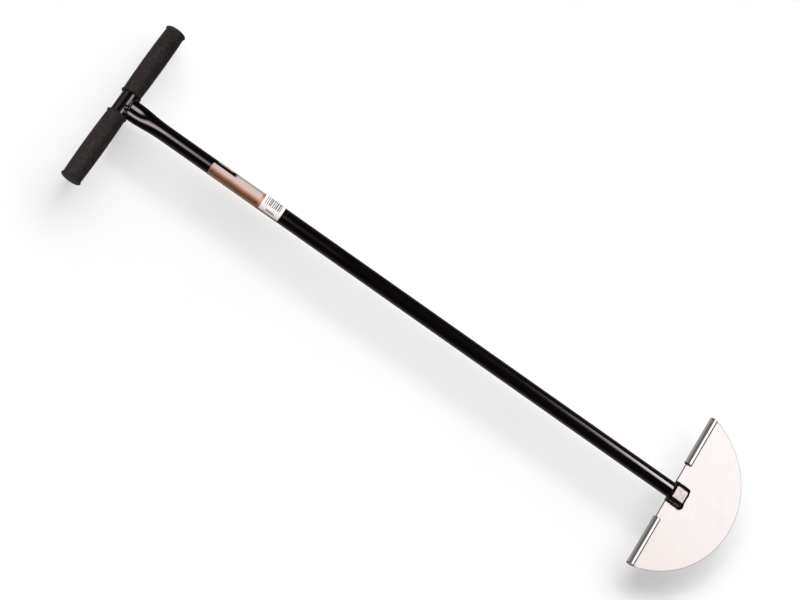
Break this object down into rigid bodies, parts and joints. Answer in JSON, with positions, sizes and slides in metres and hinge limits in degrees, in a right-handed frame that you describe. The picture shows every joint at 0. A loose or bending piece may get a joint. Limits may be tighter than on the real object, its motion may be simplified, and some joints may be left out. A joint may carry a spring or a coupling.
{
  "type": "half moon edger",
  "caption": "Half moon lawn edger: a stainless half-disc blade with split-tube foot treads, welded to a black tubular steel shaft with a rubber-gripped T handle.",
  "frame": {"origin": "on the surface that the tool lies on, under the middle of its length and on the shaft's centre line", "axes": "+X along the shaft from the handle to the blade, +Y to the tool's right-hand side, +Z out of its front face, which is up as it lies"},
  "size_m": [0.953, 0.236, 0.028],
  "materials": {
    "black_paint": "gloss black enamel on steel tube",
    "painted_weld": "weld bead under black enamel",
    "grip_rubber": "matte, lightly textured",
    "blade_steel": "satin rolled stainless sheet",
    "tread_steel": "bright drawn stainless tube",
    "label_print": "gloss laminated print",
    "sticker_paper": "semi-gloss white sticker"
  },
  "bodies": {
    "root": {"shaft_tube": "black_paint", "cross_tube": "black_paint", "left_grip": "grip_rubber", "right_grip": "grip_rubber", "half_moon_blade": "blade_steel", "left_tread": "tread_steel", "right_tread": "tread_steel", "handle_weld": "painted_weld", "front_blade_weld": "painted_weld", "back_blade_weld": "painted_weld", "product_label": "label_print", "barcode_label": "sticker_paper"}
  },
  "joints": []
}
